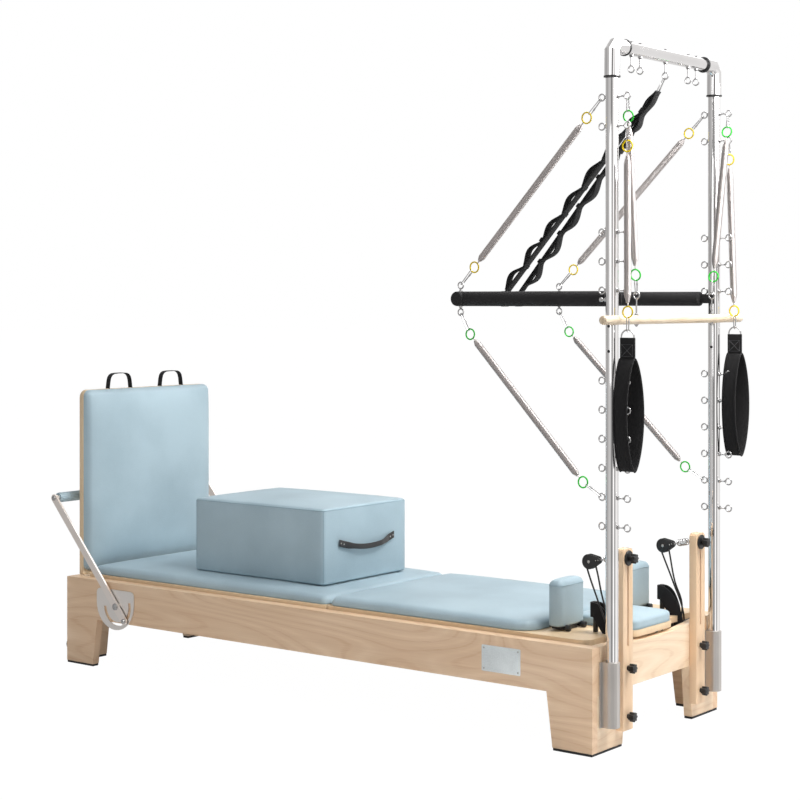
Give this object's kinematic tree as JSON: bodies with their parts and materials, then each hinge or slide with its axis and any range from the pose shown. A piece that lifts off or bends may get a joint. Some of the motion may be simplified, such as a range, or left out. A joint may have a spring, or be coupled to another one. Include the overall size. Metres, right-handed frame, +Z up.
{
  "type": "pilates tower unit",
  "caption": "Wooden pilates reformer bed with a steel tower: sprung push-through and roll-down bars, padded carriage, mat insert, jump board, sitting box and footbar.",
  "frame": {"origin": "middle of the footprint of the whole object, on the floor", "axes": "+X along the bed to the tower end, +Y across the bed to the far side of the picture, +Z up"},
  "size_m": [2.559, 0.894, 2.1985],
  "materials": {
    "maple": "satin clear lacquer",
    "plywood": "satin clear lacquer",
    "rubber": "matte",
    "brushed_alloy": "satin anodised",
    "chrome_tube": "polished",
    "chrome_wire": "polished",
    "spring_steel": "satin nickel",
    "satin_steel": "satin",
    "black_plastic": "moulded satin",
    "black_webbing": "woven",
    "blue_vinyl": "soft grained vinyl",
    "black_leather": "smooth",
    "black_paint": "satin powder coat",
    "black_foam": "closed-cell foam"
  },
  "bodies": {
    "frame": {"head_end_panel": "maple", "foot_end_panel": "maple", "spring_bar": "satin_steel", "tower_crossbar": "chrome_tube", "daisy_strap": "black_webbing", "side_panel_near": "maple", "side_panel_far": "maple", "rubber_sole_head_near": "rubber", "rubber_sole_head_far": "rubber", "rubber_sole_foot_near": "rubber", "rubber_sole_foot_far": "rubber", "carriage_track_near": "brushed_alloy", "carriage_track_far": "brushed_alloy", "footbar_quadrant_near": "brushed_alloy", "footbar_quadrant_far": "brushed_alloy", "post_clamp_near": "brushed_alloy", "post_clamp_far": "brushed_alloy", "tower_post_near": "chrome_tube", "tower_post_far": "chrome_tube", "pulley_riser_near": "plywood", "pulley_riser_far": "plywood", "upper_spring_near": "spring_steel", "upper_spring_far": "spring_steel", "lower_spring_near": "spring_steel", "lower_spring_far": "spring_steel"},
    "mat": {"mat_insert": "blue_vinyl"},
    "box": {"sitting_box": "blue_vinyl", "sitting_box_handle": "black_leather"},
    "jump": {"jump_board": "plywood", "jump_board_pad": "blue_vinyl"},
    "carriage": {"carriage_deck": "plywood", "carriage_pad": "blue_vinyl", "rope_near": "black_webbing", "rope_far": "black_webbing"},
    "headrest": {"headrest": "blue_vinyl"},
    "footbar": {"footbar": "satin_steel", "footbar_sleeve": "blue_vinyl"},
    "push_bar": {"push_through_bar": "black_paint", "push_through_foam": "black_foam"},
    "roll_down": {"roll_down_bar": "plywood", "roll_down_spring_near": "spring_steel", "roll_down_spring_far": "spring_steel"},
    "shoulder_rest_near": {"shoulder_rest_near": "blue_vinyl"},
    "hanging_loop_near": {"loop_spring_near": "spring_steel", "hanging_loop_near": "black_webbing"},
    "pulley_near": {"pulley_block_near": "black_plastic", "pulley_spring_near": "chrome_wire"},
    "pulley_knob_near": {"pulley_knob_near": "black_plastic"},
    "transport_wheel_near": {"transport_wheel_near": "black_plastic"},
    "roller_head_near": {"carriage_roller_head_near": "black_plastic"},
    "roller_foot_near": {"carriage_roller_foot_near": "black_plastic"},
    "shoulder_rest_far": {"shoulder_rest_far": "blue_vinyl"},
    "hanging_loop_far": {"loop_spring_far": "spring_steel", "hanging_loop_far": "black_webbing"},
    "pulley_far": {"pulley_block_far": "black_plastic", "pulley_spring_far": "chrome_wire"},
    "pulley_knob_far": {"pulley_knob_far": "black_plastic"},
    "transport_wheel_far": {"transport_wheel_far": "black_plastic"},
    "roller_head_far": {"carriage_roller_head_far": "black_plastic"},
    "roller_foot_far": {"carriage_roller_foot_far": "black_plastic"}
  },
  "joints": [
    {"name": "carriage_slide", "type": "slide", "parent": "frame", "child": "carriage", "axis": [1, 0, 0], "range_m": [-0.006, 0], "deforming": ["rope_near", "rope_far"]},
    {"name": "headrest_tilt", "type": "hinge", "parent": "carriage", "child": "headrest", "pos_m": [0.9005, 0, 0.338], "axis": [0, -1, 0], "range_deg": [0, 30]},
    {"name": "mat_lift", "type": "slide", "parent": "frame", "child": "mat", "axis": [0, 0, 1], "range_m": [0, 0.25]},
    {"name": "box_lift", "type": "slide", "parent": "mat", "child": "box", "axis": [0, 0, 1], "range_m": [0, 0.3]},
    {"name": "jump_board_lift", "type": "slide", "parent": "frame", "child": "jump", "axis": [0, 0, 1], "range_m": [0, 0.3]},
    {"name": "footbar_swing", "type": "hinge", "parent": "frame", "child": "footbar", "pos_m": [-0.9195, 0, 0.243], "axis": [0, 1, 0], "range_deg": [-58, 5]},
    {"name": "push_through_swing", "type": "hinge", "parent": "frame", "child": "push_bar", "pos_m": [1.1815, 0, 1.395], "axis": [0, 1, 0], "range_deg": [0, 35], "deforming": ["upper_spring_near", "upper_spring_far", "lower_spring_near", "lower_spring_far", "daisy_strap"]},
    {"name": "roll_down_swing", "type": "hinge", "parent": "frame", "child": "roll_down", "pos_m": [1.2355, 0, 2.0134], "axis": [0, -1, 0], "range_deg": [0, 30]},
    {"name": "hanging_loop_swing_near", "type": "hinge", "parent": "frame", "child": "hanging_loop_near", "pos_m": [1.2355, -0.33, 1.924], "axis": [0, -1, 0], "range_deg": [0, 36]},
    {"name": "shoulder_rest_lift_near", "type": "slide", "parent": "carriage", "child": "shoulder_rest_near", "axis": [0, 0, 1], "range_m": [0, 0.1]},
    {"name": "pulley_height_near", "type": "slide", "parent": "frame", "child": "pulley_near", "axis": [0, 0, 1], "range_m": [-0.12, 0], "deforming": ["rope_near"]},
    {"name": "pulley_knob_turn_near", "type": "hinge", "parent": "pulley_near", "child": "pulley_knob_near", "pos_m": [1.1855, -0.235, 0.59], "axis": [1, 0, 0], "continuous": true},
    {"name": "transport_wheel_spin_near", "type": "hinge", "parent": "frame", "child": "transport_wheel_near", "pos_m": [-1.2275, -0.358, 0.058], "axis": [0, 1, 0], "continuous": true},
    {"name": "roller_spin_head_near", "type": "hinge", "parent": "carriage", "child": "roller_head_near", "pos_m": [0.9905, -0.33, 0.2663], "axis": [0, 1, 0], "range_deg": [-20, 20]},
    {"name": "roller_spin_foot_near", "type": "hinge", "parent": "carriage", "child": "roller_foot_near", "pos_m": [0.1845, -0.33, 0.2663], "axis": [0, 1, 0], "range_deg": [-20, 20]},
    {"name": "hanging_loop_swing_far", "type": "hinge", "parent": "frame", "child": "hanging_loop_far", "pos_m": [1.2355, 0.33, 1.924], "axis": [0, -1, 0], "range_deg": [0, 36]},
    {"name": "shoulder_rest_lift_far", "type": "slide", "parent": "carriage", "child": "shoulder_rest_far", "axis": [0, 0, 1], "range_m": [0, 0.1]},
    {"name": "pulley_height_far", "type": "slide", "parent": "frame", "child": "pulley_far", "axis": [0, 0, 1], "range_m": [-0.12, 0], "deforming": ["rope_far"]},
    {"name": "pulley_knob_turn_far", "type": "hinge", "parent": "pulley_far", "child": "pulley_knob_far", "pos_m": [1.1855, 0.235, 0.59], "axis": [1, 0, 0], "continuous": true},
    {"name": "transport_wheel_spin_far", "type": "hinge", "parent": "frame", "child": "transport_wheel_far", "pos_m": [-1.2275, 0.358, 0.058], "axis": [0, 1, 0], "continuous": true},
    {"name": "roller_spin_head_far", "type": "hinge", "parent": "carriage", "child": "roller_head_far", "pos_m": [0.9905, 0.33, 0.2663], "axis": [0, 1, 0], "range_deg": [-20, 20]},
    {"name": "roller_spin_foot_far", "type": "hinge", "parent": "carriage", "child": "roller_foot_far", "pos_m": [0.1845, 0.33, 0.2663], "axis": [0, 1, 0], "range_deg": [-20, 20]}
  ],
  "couplings": [
    {"joint": "hanging_loop_swing_near", "follows": "roll_down_swing", "ratio": 1.2},
    {"joint": "roller_spin_head_near", "follows": "carriage_slide", "rad_per_m": 45.455},
    {"joint": "roller_spin_foot_near", "follows": "carriage_slide", "rad_per_m": 45.455},
    {"joint": "hanging_loop_swing_far", "follows": "roll_down_swing", "ratio": 1.2},
    {"joint": "roller_spin_head_far", "follows": "carriage_slide", "rad_per_m": 45.455},
    {"joint": "roller_spin_foot_far", "follows": "carriage_slide", "rad_per_m": 45.455}
  ]
}
